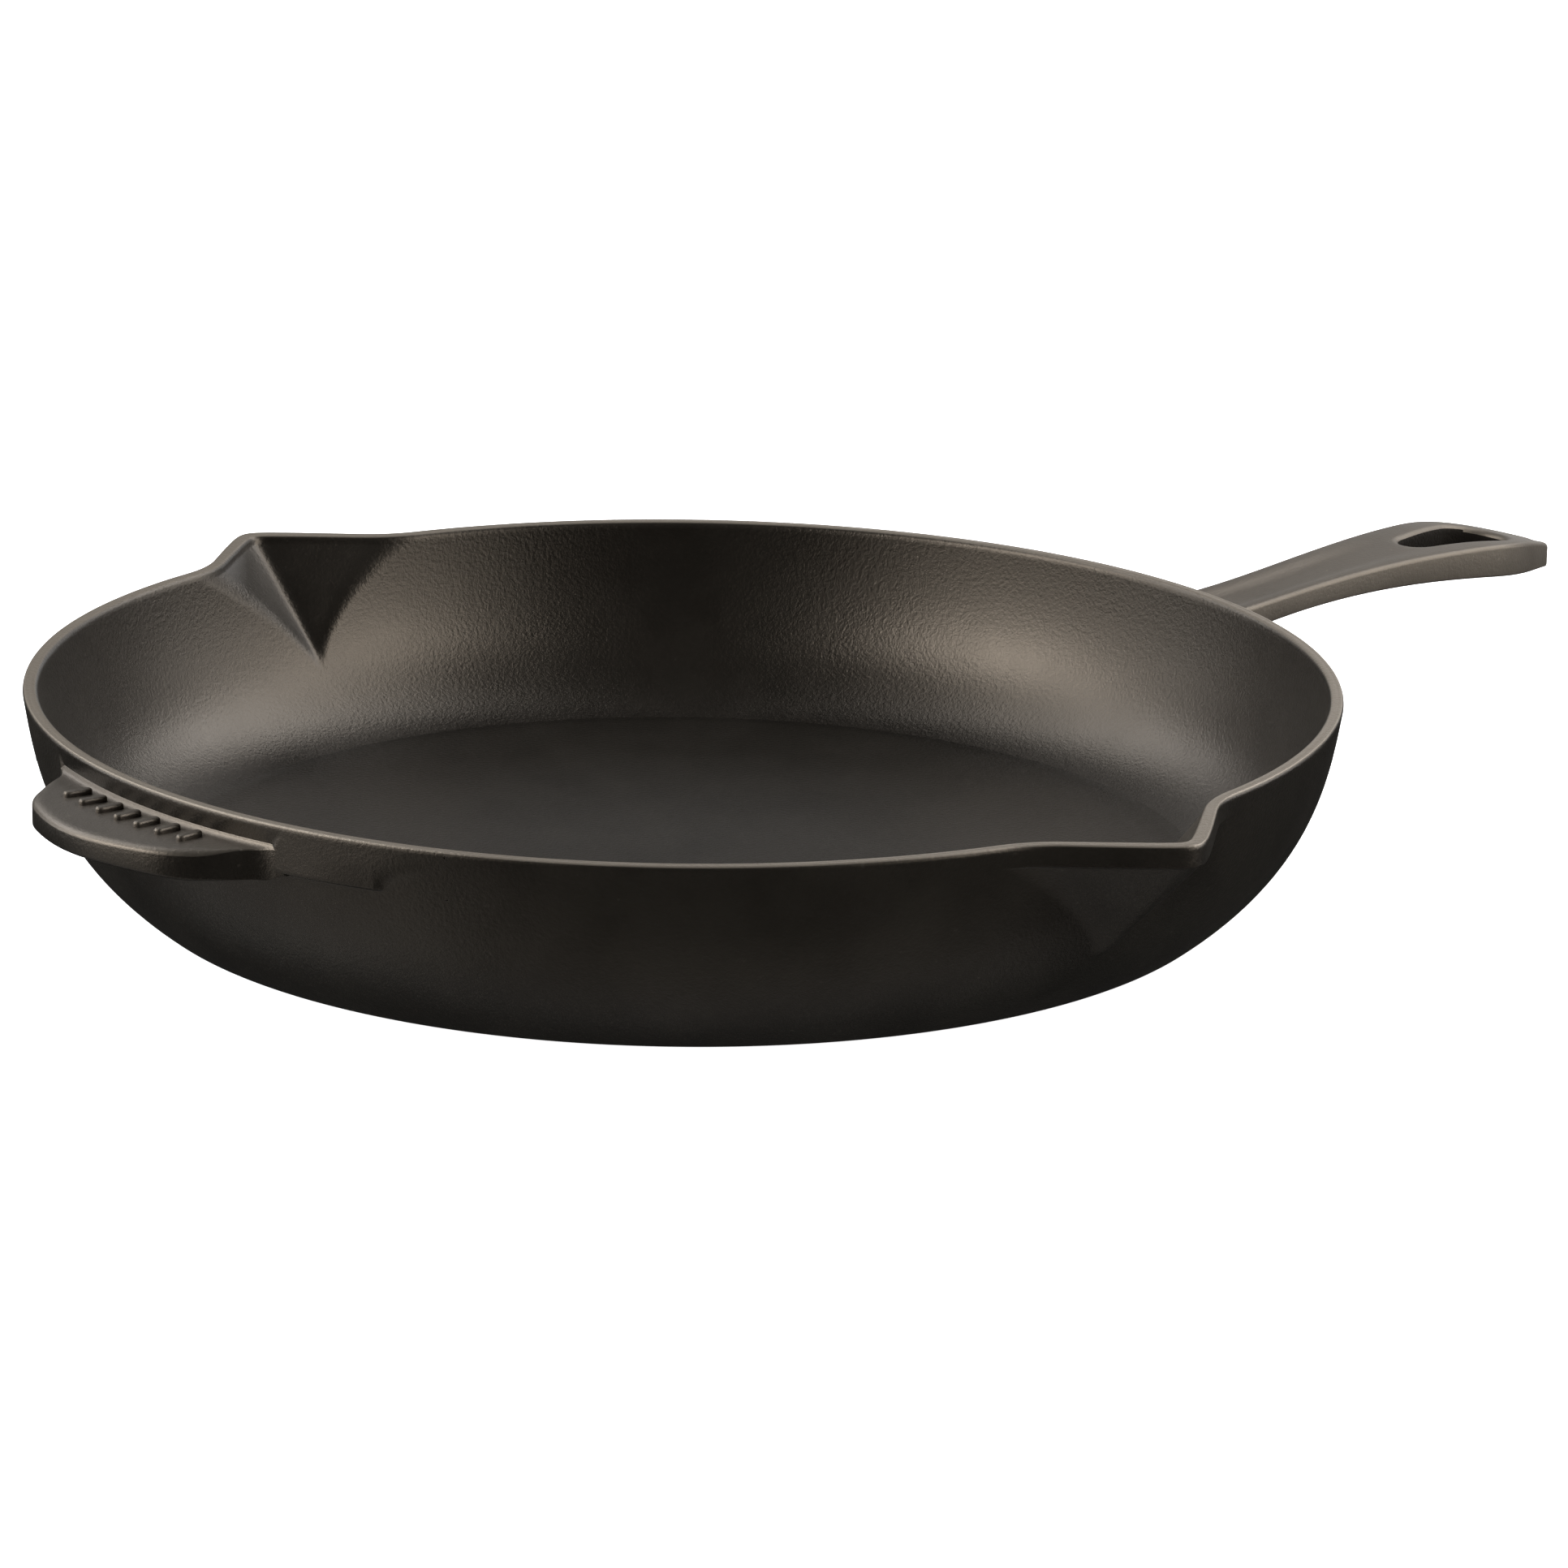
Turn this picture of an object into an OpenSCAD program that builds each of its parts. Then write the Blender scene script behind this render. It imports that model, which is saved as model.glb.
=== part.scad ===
// Cast iron skillet with two pouring spouts, a long handle and a helper handle.
// Millimetres. The origin is the centre of the base, on the surface it stands on.
// +X runs out along the long handle, +Z is up, and the spouts point along +Y and -Y.

/* [Pan] */
// Outside diameter of the rim's flat top, without the spouts
rim_d = 304.8; // [280:0.1:320]
// Height of the rim above the surface the pan stands on
pan_h = 49; // [45:0.5:54]
// Outside diameter of the flat base
base_d = 252.8; // [235:0.2:260]
// Thickness of the cooking floor
floor_t = 5.5; // [4.5:0.1:7]
// Diameter of the flat cooking floor, up to the crease
floor_d = 236; // [220:1:240]
// Width of the rim's flat top
lip_flat = 1.7; // [1.2:0.1:2.4]
// Thickness of the wall just under its rounded top
lip_w = 3.2; // [2.8:0.1:4.5]
// Height of the rim band, from its lower edge to the top
lip_h = 4.8; // [3.5:0.1:6]

/* [Spouts] */
// Distance from the pan's axis to the tip of a spout
spout_reach = 172.5; // [166:0.5:180]
// Half the width of a spout where its sides leave the rim
spout_half_w = 30.5; // [24:0.5:36]
// Radius of a spout's rounded tip
spout_tip_r = 5; // [4:0.5:8]
// Height at which the keel under a spout leaves the wall
spout_keel_z = 19.5; // [14:0.5:26]

/* [Long handle] */
// Distance from the pan's axis to the end of the long handle
handle_reach = 287; // [270:1:310]
// Half the width of the handle at its widest, across the hanging hole
handle_half_w = 16; // [14:0.5:19]
// Height of the handle's top at its highest point
handle_top_z = 44.7; // [42:0.1:47]
// Radius of the wide end of the hanging hole
hole_big_r = 9; // [7:0.5:10]
// Radius of the narrow end of the hanging hole
hole_small_r = 5; // [3:0.5:6]
// Distance between the centres of the hole's two ends
hole_run = 19; // [12:0.5:22]

/* [Helper handle] */
// Distance from the pan's axis to the outer edge of the helper handle
helper_reach = 172.8; // [165:0.1:180]
// Half the width of the helper handle where it leaves the wall
helper_half_w = 36.6; // [32:0.1:40]
// Height of the helper handle's flat top
helper_top_z = 43.2; // [41:0.1:45]
// Thickness of the helper handle
helper_t = 7; // [6:0.1:10]
// Number of raised grip ribs on the helper handle
rib_count = 7; // [3:1:7]
// Height of a grip rib
rib_h = 1.2; // [0.8:0.1:1.6]

/* [Hidden] */
$fn = 96;

iron = [0.17, 0.16, 0.15];
iron_light = [0.30, 0.28, 0.26];
iron_worn = [0.55, 0.52, 0.48];

rim_r = rim_d / 2;
base_r = base_d / 2;
floor_r = floor_d / 2;
band_z = pan_h - lip_h;   // lower edge of the rim band
lip_swell = 0.45;         // how far the wall's side stands out past the flat top
lip_fall = 1.8;           // how far the inner edge of the lip is rounded down
foot_r = 1.8;             // rounded corner between the base and the wall
over = 1;                 // how far a cutter runs past the face it cuts
curve_steps = 12;         // straight pieces in one curve of the wall's section

// A point at t on the cubic curve with end points a and d and handles b and c.
function curve_at(a, b, c, d, t) =
    (1 - t)^3 * a + 3 * (1 - t)^2 * t * b + 3 * (1 - t) * t^2 * c + t^3 * d;

// The curve as a list of points, both ends included.
function curve(a, b, c, d, steps = curve_steps) =
    [for (i = [0:steps]) curve_at(a, b, c, d, i / steps)];

function reversed(points) = [for (i = [len(points) - 1:-1:0]) points[i]];

// The wall's outer section: it flares from the base and stands almost upright at the rim.
outer_section = concat(
    curve([base_r, 0], [base_r + 21.9, pan_h * 0.325],
          [rim_r - 1.8, pan_h * 0.69], [rim_r + lip_swell, pan_h - 2 * lip_swell]),
    [[rim_r, pan_h]]);

// The wall's inner section: it starts at the crease round the cooking floor.
inner_section = concat(
    curve([floor_r, floor_t], [floor_r + 23, floor_t + 5.5],
          [rim_r - lip_w - 2.7, 30], [rim_r - lip_w, pan_h - lip_fall]),
    [[rim_r - lip_flat, pan_h]]);

// Everything inside the wall's outer face, to cut what joins the wall flush with it.
module outer_volume(rise = 0) {
    rotate_extrude()
        polygon(concat([[0, -over], [base_r, -over]], outer_section,
                       [[rim_r, pan_h + rise], [0, pan_h + rise]]));
}

// The hollow of the pan, with its open top carried on upwards.
module hollow() {
    rotate_extrude()
        polygon(concat([[0, floor_t]], inner_section,
                       [[rim_r - lip_flat, pan_h + over], [0, pan_h + over]]));
}

// The wall and rim in one piece, before it is divided at the rim band.
module shell_ring() {
    rotate_extrude()
        polygon(concat([[floor_r, 0], [base_r - foot_r, 0], [base_r + foot_r * 0.4, foot_r * 0.8]],
                       [for (p = outer_section) if (p[1] > foot_r) p],
                       reversed(inner_section)));
}

// ---- spouts -------------------------------------------------------------

// Outline of a spout seen from above, pointing along +Y and set in from its edge.
module spout_plan(inset) {
    tip_r = spout_tip_r - inset * 0.5;
    root_y = sqrt(rim_r^2 - spout_half_w^2);
    root_x = spout_half_w - inset * 0.5;
    hull() {
        translate([0, spout_reach - spout_tip_r - inset * 0.5]) circle(tip_r, $fn = 32);
        polygon([[-root_x, root_y - inset], [root_x, root_y - inset],
                 [root_x + 2.5, root_y - 8], [-root_x - 2.5, root_y - 8]]);
    }
}

keel_low_y = 146;         // where the keel leaves the wall
keel_w = 3;               // width of the keel's lower end
channel_low_y = 142;      // where the pouring channel starts on the wall
channel_low_z = 22;
channel_r = 1.5;          // rounding of the channel's bottom

// The beak with its keel: an upright band above, and two flat faces that meet below.
module spout_outer() {
    hull() {
        translate([0, 0, band_z]) linear_extrude(lip_h) spout_plan(0);
        translate([-keel_w / 2, keel_low_y - 9, spout_keel_z - 1]) cube([keel_w, 9, 1]);
    }
}

// The pouring channel: a soft V that runs from the wall's inner face to the tip.
module spout_channel() {
    hull() {
        translate([0, 0, pan_h - 2]) linear_extrude(2 + over) spout_plan(lip_w);
        translate([0, channel_low_y, channel_low_z + channel_r]) sphere(channel_r, $fn = 24);
        translate([0, channel_low_y - 12, channel_low_z + 2 * channel_r])
            sphere(channel_r, $fn = 24);
    }
}

// One spout, along +Y. The wall and the rim band are cut by the same outer shape.
module spout() {
    difference() {
        spout_outer();
        spout_channel();
        hollow();
    }
}

module both_spouts_outer() {
    spout_outer();
    mirror([0, 1, 0]) spout_outer();
}

// ---- long handle --------------------------------------------------------

handle_root_x = rim_r - 12;       // inside the wall, before it is cut flush
handle_wide_x = handle_reach - 30;
handle_nose_r = 4.7;

// Half of the handle's outline from above, from the wall to the end.
handle_edge = concat(
    curve([handle_root_x, 13.4], [handle_root_x + 74, 6.5],
          [handle_wide_x - 15, handle_half_w], [handle_wide_x, handle_half_w]),
    curve([handle_wide_x, handle_half_w], [handle_wide_x + 10, handle_half_w],
          [handle_reach - 11, 10], [handle_reach - 3, 4.4]),
    [for (a = [60:-20:0])
        [handle_reach - handle_nose_r + handle_nose_r * cos(a), handle_nose_r * sin(a)]]);

module handle_plan() {
    polygon(concat(handle_edge, [for (p = reversed(handle_edge)) [p[0], -p[1]]]));
}

// The handle seen from the side: it dips at the wall, rises, and falls away at the end.
module handle_side() {
    top_x = handle_reach - 40;
    top = concat(
        curve([handle_root_x, 42], [handle_root_x + 28, 36.2],
              [handle_root_x + 58, handle_top_z + 0.8], [top_x, handle_top_z]),
        curve([top_x, handle_top_z], [top_x + 15, handle_top_z],
              [handle_reach - 15, 43], [handle_reach, 38.3]));
    underside = curve([handle_reach, 32.8], [handle_reach - 62, 41],
                      [handle_root_x + 48, 38], [handle_root_x, 29.5]);
    polygon(concat(top, underside));
}

// The teardrop hole, wide end outwards.
module hanging_hole() {
    far_x = handle_reach - 25;
    near_x = far_x - hole_run;
    lean = asin((hole_big_r - hole_small_r) / hole_run);
    translate([0, 0, handle_top_z - 20]) linear_extrude(30) {
        translate([far_x, 0]) circle(hole_big_r);
        translate([near_x, 0]) circle(hole_small_r);
        polygon([
            [far_x - hole_big_r * sin(lean), hole_big_r * cos(lean)],
            [near_x - hole_small_r * sin(lean), hole_small_r * cos(lean)],
            [near_x - hole_small_r * sin(lean), -hole_small_r * cos(lean)],
            [far_x - hole_big_r * sin(lean), -hole_big_r * cos(lean)]
        ]);
    }
}

// ---- helper handle ------------------------------------------------------

helper_bevel = 2.4;       // width of the bevel round the helper handle's top
helper_bevel_h = 1.4;     // height of that bevel
shoulder_z = 38.2;        // lower edge of the shoulders
shoulder_from = 154.5;    // a shoulder's two ends, in degrees round from the long handle
shoulder_to = 165;

// Half of the helper handle's outline from above: a nearly straight side that leans
// inwards, a rounded corner, and a flat arc to the middle.
helper_edge = concat(
    [[12 - rim_r, helper_half_w + 2.2]],
    curve([-rim_r, helper_half_w - 2], [-rim_r - 7.1, helper_half_w - 5.3],
          [7.8 - helper_reach, helper_half_w - 8.8], [4.8 - helper_reach, helper_half_w - 16.1]),
    curve([4.8 - helper_reach, helper_half_w - 16.1], [1.8 - helper_reach, helper_half_w - 23.4],
          [-helper_reach, 6.5], [-helper_reach, 0]));

module helper_plan(inset) {
    offset(delta = -inset)
        polygon(concat(helper_edge, [for (p = reversed(helper_edge)) [p[0], -p[1]]]));
}

// One upright pad of the wall beside the helper handle, flush with the rim's side.
module shoulder(a, b) {
    top_z = pan_h - 3 * lip_swell;
    face_r = rim_r + lip_swell + 0.1;
    root_r = rim_r - 2;
    rotate([0, 0, a]) rotate_extrude(angle = b - a) difference() {
        translate([root_r, shoulder_z]) square([face_r - root_r, top_z - shoulder_z]);
        polygon(concat([[0, -over], [base_r, -over]], outer_section, [[0, pan_h]]));
    }
}

// ---- the parts ----------------------------------------------------------

module pan_floor() {
    color(iron) cylinder(h = floor_t, r = floor_r);
}

module pan_wall() {
    color(iron) difference() {
        shell_ring();
        translate([0, 0, band_z]) cylinder(h = lip_h + over, r = rim_r + 10);
        both_spouts_outer();
    }
}

module rim_band() {
    color(iron_worn) difference() {
        intersection() {
            shell_ring();
            translate([0, 0, band_z]) cylinder(h = lip_h + over, r = rim_r + 10);
        }
        both_spouts_outer();
    }
}

module pour_spout_left() {
    color(iron_light) spout();
}

module pour_spout_right() {
    color(iron_light) mirror([0, 1, 0]) spout();
}

module long_handle() {
    color(iron_light) difference() {
        intersection() {
            translate([0, 0, 20]) linear_extrude(30) handle_plan();
            translate([0, 30, 0]) rotate([90, 0, 0]) linear_extrude(60) handle_side();
        }
        hanging_hole();
        outer_volume(over);
    }
}

module helper_handle() {
    color(iron_light) difference() {
        hull() {
            translate([0, 0, helper_top_z - helper_t])
                linear_extrude(helper_t - helper_bevel_h) helper_plan(0);
            translate([0, 0, helper_top_z - 0.5]) linear_extrude(0.5) helper_plan(helper_bevel);
        }
        outer_volume(over);
    }
}

module helper_shoulders() {
    color(iron_light) {
        shoulder(shoulder_from, shoulder_to);
        shoulder(360 - shoulder_to, 360 - shoulder_from);
    }
}

module helper_grip_ribs() {
    pitch = 7;
    rib_w = 2.4;
    rib_l = 7;
    middle_x = -157.6;
    color(iron_worn)
        for (i = [0:rib_count - 1]) {
            y = (i - (rib_count - 1) / 2) * pitch;
            x = middle_x + y^2 / 300;
            translate([x - rib_l / 2, y - rib_w / 2, helper_top_z]) cube([rib_l, rib_w, rib_h]);
        }
}

pan_floor();
pan_wall();
rim_band();
pour_spout_left();
pour_spout_right();
long_handle();
helper_handle();
helper_shoulders();
helper_grip_ribs();
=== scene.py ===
"""Looks of the cast iron skillet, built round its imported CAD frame.

Metres, in the frame's own axes: the origin is the centre of the base, +X runs out along
the long handle, +Z is up, and the spouts point along +Y and -Y.
"""
import math

import bpy
import numpy as np
from mathutils import Matrix, Vector
from mathutils.geometry import delaunay_2d_cdt


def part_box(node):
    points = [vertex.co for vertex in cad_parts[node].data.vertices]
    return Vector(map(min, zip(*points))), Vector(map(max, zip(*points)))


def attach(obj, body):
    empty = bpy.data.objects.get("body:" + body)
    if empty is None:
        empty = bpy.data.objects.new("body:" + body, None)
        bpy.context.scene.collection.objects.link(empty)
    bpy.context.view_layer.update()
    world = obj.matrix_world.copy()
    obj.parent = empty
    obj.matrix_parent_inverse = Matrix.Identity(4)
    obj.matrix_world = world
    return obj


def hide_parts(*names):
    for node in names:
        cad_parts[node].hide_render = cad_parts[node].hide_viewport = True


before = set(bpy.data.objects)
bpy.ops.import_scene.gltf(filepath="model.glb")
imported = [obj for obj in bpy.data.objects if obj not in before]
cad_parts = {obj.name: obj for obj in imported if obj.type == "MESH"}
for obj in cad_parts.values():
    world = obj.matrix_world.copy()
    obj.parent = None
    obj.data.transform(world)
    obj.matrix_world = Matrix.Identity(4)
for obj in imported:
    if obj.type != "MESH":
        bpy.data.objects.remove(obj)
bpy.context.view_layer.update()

MM = 0.001

# ---- sizes taken from the frame -------------------------------------------------

FLOOR_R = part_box("pan_floor")[1].x
FLOOR_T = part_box("pan_floor")[1].z
TOP_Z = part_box("rim_band")[1].z
BAND_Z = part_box("rim_band")[0].z
SPOUT_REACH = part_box("pour_spout_left")[1].y
HANDLE_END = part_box("long_handle")[1].x
HANDLE_HALF_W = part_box("long_handle")[1].y
HANDLE_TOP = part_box("long_handle")[1].z
HELPER_REACH = -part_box("helper_handle")[0].x
HELPER_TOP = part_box("helper_handle")[1].z
HELPER_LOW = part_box("helper_handle")[0].z
SHOULDER_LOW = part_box("helper_shoulders")[0].z
RIB_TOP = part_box("helper_grip_ribs")[1].z

# ---- driving sizes of the casting -----------------------------------------------

RIM_R = 152.4 * MM          # outside of the lip's flat top, without the spouts
RIM_SWELL = 0.45 * MM       # how far the rim's side stands out past that
SIDE_R = RIM_R + RIM_SWELL
BASE_R = 126.4 * MM         # flat base
CREASE_R = FLOOR_R + 2.2 * MM       # where the wall starts to rise from the flat floor
LIP_W = 3.65 * MM           # thickness of the wall just under the lip
LIP_OUT = (0.6 * MM, 1.1 * MM)      # rounding of the lip's outer edge, across and down
LIP_IN = (1.5 * MM, 1.8 * MM)       # rounding of the lip's inner edge, across and down
LIP_LINE = 1.25 * MM        # distance of the fine line on the lip from the rim's side
LIP_LINE_HALF_W = 0.15 * MM
LIP_LINE_DEPTH = 0.08 * MM
LIP_ANGLES = np.radians((22.5, 45, 67.5, 90))       # rings round each of the lip's edges
LIP_RINGS = len(LIP_ANGLES) + 2     # rings from the lip's outer edge to its fine line
FOOT_ROUND = 1.6 * MM       # rounding between base and wall, measured along each side
RING_STEP = 0.8 * MM        # usual height between two rings of the wall
FINE_RING_GAP = 0.3 * MM    # least height between a usual ring and one at an edge
CURVE_POINTS = 200          # points in each of the section's two curves
SPOUT_ZONE = 18.0           # degrees each side of a spout's axis that belong to the spout
SPOUT_LOW_Z = 17.0 * MM     # a spout's lowest level on the wall
BAND_STEP = 0.45 * MM       # height below the rim band over which a beak steps out to it


# ---- small maths ----------------------------------------------------------------

def bezier(a, b, c, d, count):
    """Points along a cubic curve, both ends included, as an array of rows."""
    t = np.linspace(0, 1, count)[:, None]
    a, b, c, d = (np.array(p, float) for p in (a, b, c, d))
    return (1 - t) ** 3 * a + 3 * (1 - t) ** 2 * t * b + 3 * (1 - t) * t ** 2 * c + t ** 3 * d


def smooth_max(a, b, k):
    """The larger of a and b, with a blend of size k where they meet."""
    h = np.clip(0.5 + 0.5 * (a - b) / k, 0, 1)
    return b + (a - b) * h + k * h * (1 - h)


def smoothstep(low, high, x):
    t = np.clip((x - low) / (high - low), 0, 1)
    return t * t * (3 - 2 * t)


# ---- the wall's section ---------------------------------------------------------

OUTER_CURVE = bezier((BASE_R, 0), (BASE_R + 21.9 * MM, TOP_Z * 0.325),
                     (SIDE_R - 2.25 * MM, TOP_Z * 0.69), (SIDE_R, TOP_Z - LIP_OUT[1]),
                     CURVE_POINTS)
INNER_CURVE = bezier((CREASE_R, FLOOR_T), (FLOOR_R + 23 * MM, FLOOR_T + 5.5 * MM),
                     (SIDE_R - LIP_W - 2.7 * MM, 30 * MM),
                     (SIDE_R - LIP_W, TOP_Z - LIP_IN[1]), CURVE_POINTS)
INNER_CURVE = np.concatenate([[(FLOOR_R, FLOOR_T)], INNER_CURVE])


def outer_radius(z):
    return np.interp(z, OUTER_CURVE[:, 1], OUTER_CURVE[:, 0])


def inner_radius(z):
    return np.interp(z, INNER_CURVE[:, 1], INNER_CURVE[:, 0])


def section_levels():
    """Rings of the wall's section, from the floor's edge up to the middle of the lip.

    Returns the outer and the inner rings as (radius, height) rows, the same number of each,
    and the level numbers where the spouts and where the rim band begin. The lip's rings are
    set in from the wall's faces later, by even_lip.
    """
    rise = OUTER_CURVE[4] - OUTER_CURVE[0]
    lean = rise / np.linalg.norm(rise)
    corner = np.array((BASE_R, 0.0))
    foot = bezier(corner - (FOOT_ROUND, 0), corner - (FOOT_ROUND / 3, 0),
                  corner + lean * FOOT_ROUND / 3, corner + lean * FOOT_ROUND, 7)
    under = [(r, 0.0) for r in np.linspace(FLOOR_R, foot[0][0], 5)[:-1]]
    low_z = np.linspace(foot[-1][1], SPOUT_LOW_Z, 15)[1:-1]
    outer = under + [tuple(p) for p in foot] + [(outer_radius(z), z) for z in low_z]
    below_spout = len(outer)
    crowd = 1.25            # above 1, the inner rings lie closer together at the crease
    inner_t = np.linspace(0, 1, below_spout + 1)[:-1] ** crowd
    reach = np.interp(SPOUT_LOW_Z, INNER_CURVE[:, 1], np.arange(len(INNER_CURVE)))
    inner = [tuple(INNER_CURVE[0])]
    inner += [tuple(point_on(INNER_CURVE, t * reach)) for t in inner_t[1:]]
    low_z = wall_levels()
    in_band = BAND_Z + RING_STEP
    outer_z = np.concatenate([low_z, np.linspace(in_band, TOP_Z - LIP_OUT[1], 6)])
    inner_z = np.concatenate([low_z, np.linspace(in_band, TOP_Z - LIP_IN[1], 6)])
    outer += [(outer_radius(z), z) for z in outer_z]
    inner += [(inner_radius(z), z) for z in inner_z]
    band_level = below_spout + int(np.argmin(np.abs(low_z - BAND_Z)))
    for a in LIP_ANGLES:
        outer.append((SIDE_R, TOP_Z - LIP_OUT[1] * (1 - math.sin(a))))
        inner.append((SIDE_R - LIP_W, TOP_Z - LIP_IN[1] * (1 - math.sin(a))))
    for z in (TOP_Z, TOP_Z - LIP_LINE_DEPTH):
        outer.append((SIDE_R, z))
        inner.append((SIDE_R - LIP_W, z))
    return np.array(outer), np.array(inner), below_spout, band_level


def wall_levels():
    """Heights of the rings from the spouts' feet to just inside the rim band.

    They lie close together at the edges of the pads, of the helper handle and of the band.
    """
    edges = [SHOULDER_LOW + part * PAD_EDGE for part in (-1, -0.5, 0, 0.5, 1)]
    edges += [HELPER_TOP + part * PAD_STEP for part in (-1, 0, 1)]
    edges += [BAND_Z + part * BAND_STEP for part in (-1, -2 / 3, -1 / 3, 0, 2 / 3)]
    even = np.arange(SPOUT_LOW_Z, BAND_Z - BAND_STEP, RING_STEP)
    apart = [z for z in even if np.abs(np.array(edges) - z).min() > FINE_RING_GAP]
    return np.array(sorted(apart + edges))


def point_on(curve, where):
    """The point at a fractional index of a dense curve."""
    index = np.arange(len(curve))
    return np.array((np.interp(where, index, curve[:, 0]), np.interp(where, index, curve[:, 1])))


# ---- spouts ---------------------------------------------------------------------

BEAK_LEAN = 0.91            # how fast a beak's sides fall back from its tip, seen from above
CHANNEL_LEAN = (0.97, 0.86)     # the same for the pouring channel, at its foot and at the rim
ROOT_BLEND = (1.2 * MM, 4.4 * MM)       # blend of a spout into the wall, low down and at the rim
TIP_ROUND_OUT = 3.8 * MM    # softness of the beak's tip
KEEL_ROUND = 1.2 * MM       # softness of the keel under it
CHANNEL_ROUND = 2.3 * MM    # softness of the bottom of the pouring channel
KEEL_LOW = (146.0 * MM, 19.3 * MM)      # reach and height where the keel leaves the wall
LEDGE = 0.45 * MM           # how far the rim band stands out from the keel below it
CHANNEL_LOW = (143.0 * MM, 23.7 * MM)   # reach and height of the channel's foot
CHANNEL_RUN = 1.06          # how far out the channel's bottom runs for each step up
CHANNEL_SHARP = 0.5         # its softness at the foot, as a share of CHANNEL_ROUND
CHANNEL_SOFT_Z = 16 * MM    # height above the foot where it has its full softness
CHANNEL_TURN_Z = 4 * MM     # height above the foot where the lean starts to change


def root_blend(z, low):
    """Blend between a spout's sides and the round wall: tight below, soft at the rim."""
    tight, soft = ROOT_BLEND
    return tight + (soft - tight) * np.clip((z - low) / (TOP_Z - low), 0, 1)


def beak_radius(phi, tip, lean, softness):
    """Distance from the axis to a V-shaped beak, at angle phi from the beak's middle."""
    apex = tip + lean * softness
    phi = np.minimum(phi, math.atan(lean))
    c = np.cos(phi)
    s = np.sin(phi)
    q = c * c - (lean * s) ** 2
    inside = (apex * c) ** 2 - q * (apex ** 2 - (lean * softness) ** 2)
    return (apex * c - np.sqrt(np.maximum(inside, 0))) / q


def spout_outside(phi, z, radius):
    """The outer wall's radius with the beak and its keel added."""
    reach_low, z_low = KEEL_LOW
    reach_high = SPOUT_REACH - LEDGE
    keel = reach_low + (reach_high - reach_low) * (z - z_low) / (BAND_Z - z_low)
    on_band = smoothstep(BAND_Z - BAND_STEP, BAND_Z - 0.1 * MM, z)
    keel = np.minimum(keel, reach_high)
    tip = keel + (SPOUT_REACH - keel) * on_band
    softness = KEEL_ROUND + (TIP_ROUND_OUT - KEEL_ROUND) * smoothstep(z_low, BAND_Z, z)
    return smooth_max(radius, beak_radius(phi, tip, BEAK_LEAN, softness), root_blend(z, z_low))


def spout_inside(phi, z, radius):
    """The inner wall's radius with the pouring channel cut into it."""
    reach_low, z_low = CHANNEL_LOW
    bottom = np.minimum(reach_low + CHANNEL_RUN * (z - z_low), SPOUT_REACH - LIP_W)
    grown = smoothstep(z_low, z_low + CHANNEL_SOFT_Z, z)
    softness = CHANNEL_ROUND * (CHANNEL_SHARP + (1 - CHANNEL_SHARP) * grown)
    foot_lean, rim_lean = CHANNEL_LEAN
    lean = foot_lean + (rim_lean - foot_lean) * smoothstep(z_low + CHANNEL_TURN_Z, TOP_Z, z)
    return smooth_max(radius, beak_radius(phi, bottom, lean, softness), root_blend(z, z_low))


def column_angles():
    """Angles of the wall's columns in degrees, close together at the spouts and the pads."""
    near, far = SHOULDER_ZONE
    coarse = 1.0
    fine = 0.25
    finest = 0.15
    spout = np.arange(90 - SPOUT_ZONE, 90 + SPOUT_ZONE, fine)
    between = np.arange(90 + SPOUT_ZONE, near, coarse)
    pad = np.concatenate([np.arange(near, PAD_FULL, fine), np.arange(PAD_FULL, far, finest), [far]])
    behind = np.linspace(far, 180, 14)[1:]
    half = np.concatenate([between, pad, behind])
    back = np.concatenate([half, (360 - half)[::-1][1:]])   # ends on the right spout's first
    front = np.arange(270 + SPOUT_ZONE, 450 - SPOUT_ZONE, coarse)
    return np.concatenate([spout, back, spout[1:] + 180, front])


# ---- pads beside the helper handle ----------------------------------------------

# Angles here are in degrees from +X, the same on both sides. The helper handle is at 180.

SHOULDER_ZONE = (149.0, 168.0)      # angles that hold a pad and its run-out
SHOULDER_SEAT = 1.0 * MM    # how deep a pad is set into the wall
PAD_EDGE = 0.4 * MM         # half the height over which a pad's lower edge steps out
PAD_STEP = 0.2 * MM         # half the height over which a pad widens below the handle's top
PAD_CORNER = 154.6          # where a pad's lower corner starts
PAD_SPREAD = 5.4            # how much sooner its upper part starts
PAD_CRISP = 0.8             # how wide the lower corner's run-out is
PAD_SOFT = 6.0              # how much wider the upper part's run-out is
PAD_SOFT_Z = (0.3 * MM, 7.5 * MM)       # heights above the lower edge where one turns into the other
PAD_FULL = 162.0            # from here to the handle the pad is fully flush
PAD_LESS = 0.45             # how much less the lower corner stands out, as a share
PAD_END = 165.3             # where a pad ends beside the handle, at the handle's top
PAD_TUCK = 2.3              # how much further it reaches behind the handle below that
PAD_LEAN = 1.0              # how much sooner it ends at the rim
PAD_FADE = 0.6              # how wide that end is


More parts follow.
